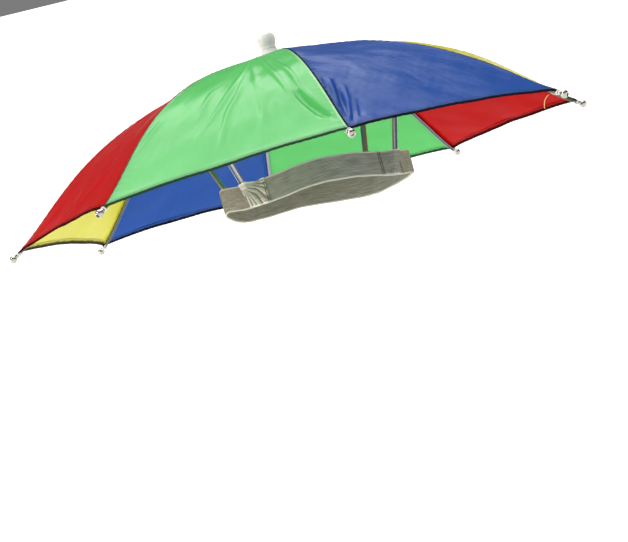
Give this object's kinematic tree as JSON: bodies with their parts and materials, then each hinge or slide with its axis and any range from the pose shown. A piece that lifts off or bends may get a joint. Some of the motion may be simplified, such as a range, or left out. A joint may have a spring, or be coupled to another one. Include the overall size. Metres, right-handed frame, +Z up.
{
  "type": "umbrella hat",
  "caption": "Sun and rain hat: a domed cloth canopy in coloured panels on a ribbed steel frame, with steel legs down to an elastic headband.",
  "frame": {"origin": "on the canopy's axis at mid height of the headband, in the space where the head goes", "axes": "+Z up along the canopy's axis, -Y towards the wearer's front, +X towards the wearer's left"},
  "size_m": [0.557, 0.557, 0.1689],
  "materials": {
    "yellow_cloth": "plain woven polyester",
    "red_cloth": "plain woven polyester",
    "green_cloth": "plain woven polyester with a slight sheen",
    "blue_cloth": "plain woven polyester",
    "white_elastic": "ribbed knitted elastic",
    "bright_steel": "zinc-bright folded strip",
    "nickel": "nickel plated",
    "pale_grey_plastic": "moulded, slight sheen",
    "black_plastic": "moulded"
  },
  "bodies": {
    "root": {"panel_1_yellow": "yellow_cloth", "panel_2_red": "red_cloth", "panel_3_green": "green_cloth", "panel_4_blue": "blue_cloth", "panel_5_yellow": "yellow_cloth", "panel_6_red": "red_cloth", "panel_7_green": "green_cloth", "panel_8_blue": "blue_cloth", "rib_1": "bright_steel", "rib_2": "bright_steel", "rib_3": "bright_steel", "rib_4": "bright_steel", "rib_5": "bright_steel", "rib_6": "bright_steel", "rib_7": "bright_steel", "rib_8": "bright_steel", "rib_tip_1": "nickel", "rib_tip_2": "nickel", "rib_tip_3": "nickel", "rib_tip_4": "nickel", "rib_tip_5": "nickel", "rib_tip_6": "nickel", "rib_tip_7": "nickel", "rib_tip_8": "nickel", "stretcher_1": "bright_steel", "stretcher_2": "bright_steel", "stretcher_3": "bright_steel", "stretcher_4": "bright_steel", "stretcher_5": "bright_steel", "stretcher_6": "bright_steel", "stretcher_7": "bright_steel", "stretcher_8": "bright_steel", "leg_front": "bright_steel", "leg_left": "bright_steel", "leg_back": "bright_steel", "leg_right": "bright_steel", "headband": "white_elastic", "pocket_front": "white_elastic", "pocket_left": "white_elastic", "pocket_back": "white_elastic", "pocket_right": "white_elastic", "hub": "black_plastic", "runner": "black_plastic", "shaft": "bright_steel", "collar": "pale_grey_plastic", "finial": "pale_grey_plastic"}
  },
  "joints": []
}
